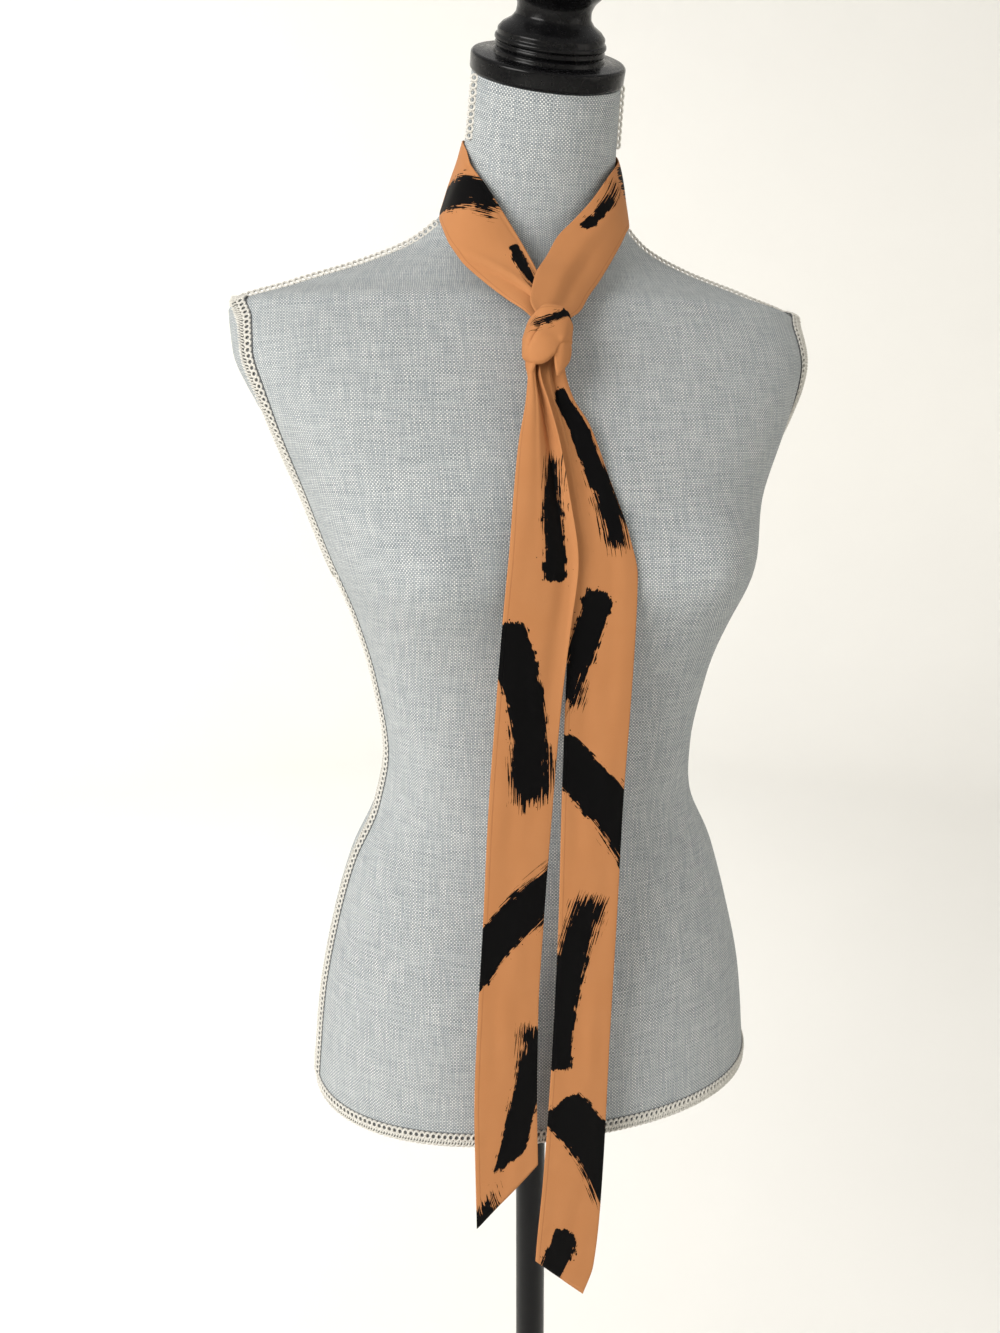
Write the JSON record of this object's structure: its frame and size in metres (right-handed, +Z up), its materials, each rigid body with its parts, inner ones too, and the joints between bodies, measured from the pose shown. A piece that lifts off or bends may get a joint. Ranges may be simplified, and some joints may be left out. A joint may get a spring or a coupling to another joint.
{
  "type": "skinny scarf on a dress form",
  "caption": "Long narrow flat tube scarf wound round a dress form's neck and tied in a front knot, its two slant-cut tails hanging down, on a turned pole stand.",
  "frame": {"origin": "on the floor, on the pole's axis, under the middle of the whole object", "axes": "+Z up, the form's front and the scarf's tails face -Y, +X is to the right of someone looking at the front"},
  "size_m": [0.379, 0.36, 1.5611],
  "materials": {
    "linen": "heathered linen weave, matt",
    "camel_cloth": "smooth matt crepe",
    "black_wood": "black satin paint",
    "black_metal": "black satin powder coat"
  },
  "bodies": {
    "root": {"dress_form_body": "linen", "dress_form_neck_cap": "black_wood", "dress_form_pole": "black_metal", "dress_form_base": "black_metal", "scarf_neck_left": "camel_cloth", "scarf_neck_right": "camel_cloth", "scarf_knot_wrap": "camel_cloth", "scarf_tail_left": "camel_cloth", "scarf_tail_right": "camel_cloth"}
  },
  "joints": []
}
